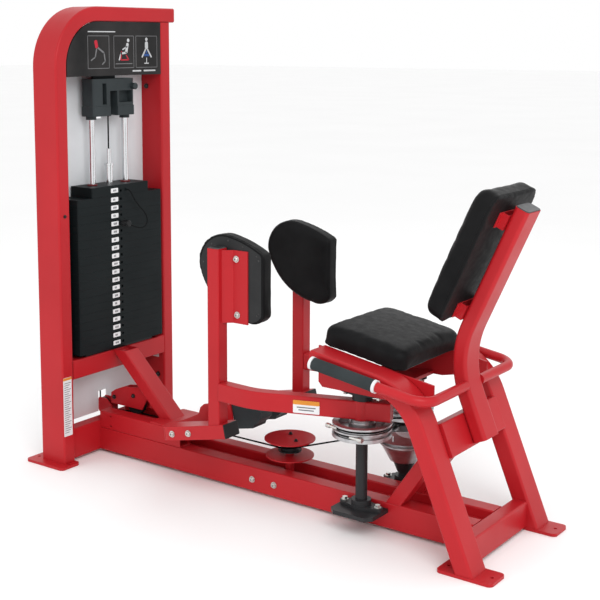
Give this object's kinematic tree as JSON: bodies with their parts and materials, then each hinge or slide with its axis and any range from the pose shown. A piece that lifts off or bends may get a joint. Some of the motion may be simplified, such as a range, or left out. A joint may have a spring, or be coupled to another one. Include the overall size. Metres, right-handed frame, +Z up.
{
  "type": "hip abductor machine",
  "caption": "Seated leg machine: weight-stack tower, low beam, raked seat frame with handles, and two coupled leg arms with foot rests and thigh pads on upright pivots.",
  "frame": {"origin": "on the floor, at the bottom centre of the machine's box", "axes": "+X from the weight tower to the seat, +Y to the side away from the loose side of the selector cord (the sitter's right), +Z up; the sitter faces -X"},
  "size_m": [1.968, 0.72, 1.765],
  "materials": {
    "red_paint": "powder coat, semi-gloss red",
    "black_paint": "powder coat, satin black",
    "vinyl": "grained black upholstery vinyl",
    "stack_black": "painted black steel plates",
    "plastic_dark": "moulded plastic, fine texture",
    "plastic_black": "nylon, slightly glossy",
    "chrome": "polished chrome plate",
    "steel": "zinc-plated steel",
    "cast_aluminium": "as-cast, lightly machined",
    "cable_black": "nylon-coated steel cable",
    "shroud_grey": "pale translucent sheet",
    "dark_red_plastic": "dark red bushing plastic",
    "grip_rubber": "foam rubber grip",
    "collar_white": "pale moulded collars",
    "placard_black": "printed panel, satin",
    "bolt_dark": "black oxide"
  },
  "bodies": {
    "frame": {"pulley_stand": "red_paint", "tower_arch": "red_paint", "far_upright": "red_paint", "base_cross_tube": "red_paint", "stack_crossbar": "red_paint", "pulley_guards": "red_paint", "main_beam": "red_paint", "diagonal_strut": "red_paint", "leg_near": "red_paint", "leg_far": "red_paint", "rear_crossbar": "red_paint", "leg_braces": "red_paint", "foot_plates": "red_paint", "seat_frame_plates": "red_paint", "back_spine": "red_paint", "handles": "red_paint", "pivot_plates": "black_paint", "flange_bearings": "black_paint", "back_pad": "vinyl", "seat_cushion": "vinyl", "lower_weights": "stack_black", "pulley_housing": "plastic_dark", "stack_rest": "plastic_black", "guide_rods": "chrome", "frame_bolts": "steel", "cable_fittings": "steel", "lift_cable": "cable_black", "main_cable": "cable_black", "link_cables": "cable_black", "rear_shroud": "shroud_grey", "hand_grips": "grip_rubber", "grip_collars": "collar_white", "placard": "placard_black", "dark_bolts": "bolt_dark"},
    "stack": {"lifted_weights": "stack_black", "head_plate": "stack_black", "rod_bushings": "dark_red_plastic", "selector_stem": "chrome", "pin_lanyard": "cable_black"},
    "pin": {"selector_pin": "plastic_black"},
    "arm_near": {"arm_post_near": "red_paint", "arm_bar_near": "red_paint", "pivot_shaft_near": "black_paint", "cam_near": "cast_aluminium", "foot_rest_near": "plastic_dark", "thigh_pad_near": "vinyl", "arm_bolts_near": "steel"},
    "arm_far": {"arm_post_far": "red_paint", "arm_bar_far": "red_paint", "pivot_shaft_far": "black_paint", "cam_far": "cast_aluminium", "foot_rest_far": "plastic_dark", "thigh_pad_far": "vinyl", "arm_bolts_far": "steel", "drive_cam": "cast_aluminium", "range_hub": "black_paint"},
    "top_wheel": {"top_pulley": "plastic_black"},
    "rear_wheel": {"rear_pulley": "plastic_black"},
    "guide_wheel": {"guide_pulley": "plastic_black"},
    "mid_wheel": {"mid_pulley": "plastic_black"}
  },
  "joints": [
    {"name": "near_arm_swing", "type": "hinge", "parent": "frame", "child": "arm_near", "pos_m": [0.43, -0.142, 0.4], "axis": [0, 0, 1], "range_deg": [0, 50]},
    {"name": "far_arm_swing", "type": "hinge", "parent": "frame", "child": "arm_far", "pos_m": [0.43, 0.142, 0.4], "axis": [0, 0, 1], "range_deg": [-50, 0]},
    {"name": "stack_lift", "type": "slide", "parent": "frame", "child": "stack", "axis": [0, 0, 1], "range_m": [0, 0.0699], "deforming": ["lift_cable"]},
    {"name": "pin_pull", "type": "slide", "parent": "stack", "child": "pin", "axis": [1, 0, 0], "range_m": [0, 0.1]},
    {"name": "top_wheel_turn", "type": "hinge", "parent": "frame", "child": "top_wheel", "pos_m": [-0.89175, 0, 1.378], "axis": [0, 1, 0], "range_deg": [-112.09, 0]},
    {"name": "rear_wheel_turn", "type": "hinge", "parent": "frame", "child": "rear_wheel", "pos_m": [-0.9075, 0, 0.16], "axis": [0, 1, 0], "range_deg": [-200.2, 0]},
    {"name": "guide_wheel_turn", "type": "hinge", "parent": "frame", "child": "guide_wheel", "pos_m": [-0.723, 0, 0.197], "axis": [0, 1, 0], "range_deg": [-100.2, 0]},
    {"name": "mid_wheel_turn", "type": "hinge", "parent": "frame", "child": "mid_wheel", "pos_m": [0.04, -0.01, 0.178], "axis": [0, 0, 1], "range_deg": [0, 111.31]}
  ],
  "couplings": [
    {"joint": "far_arm_swing", "follows": "near_arm_swing", "ratio": -1},
    {"joint": "stack_lift", "follows": "near_arm_swing", "m_per_rad": 0.08},
    {"joint": "top_wheel_turn", "follows": "near_arm_swing", "ratio": -2.2378},
    {"joint": "rear_wheel_turn", "follows": "near_arm_swing", "ratio": -4},
    {"joint": "guide_wheel_turn", "follows": "near_arm_swing", "ratio": -2},
    {"joint": "mid_wheel_turn", "follows": "near_arm_swing", "ratio": 2.2222}
  ]
}
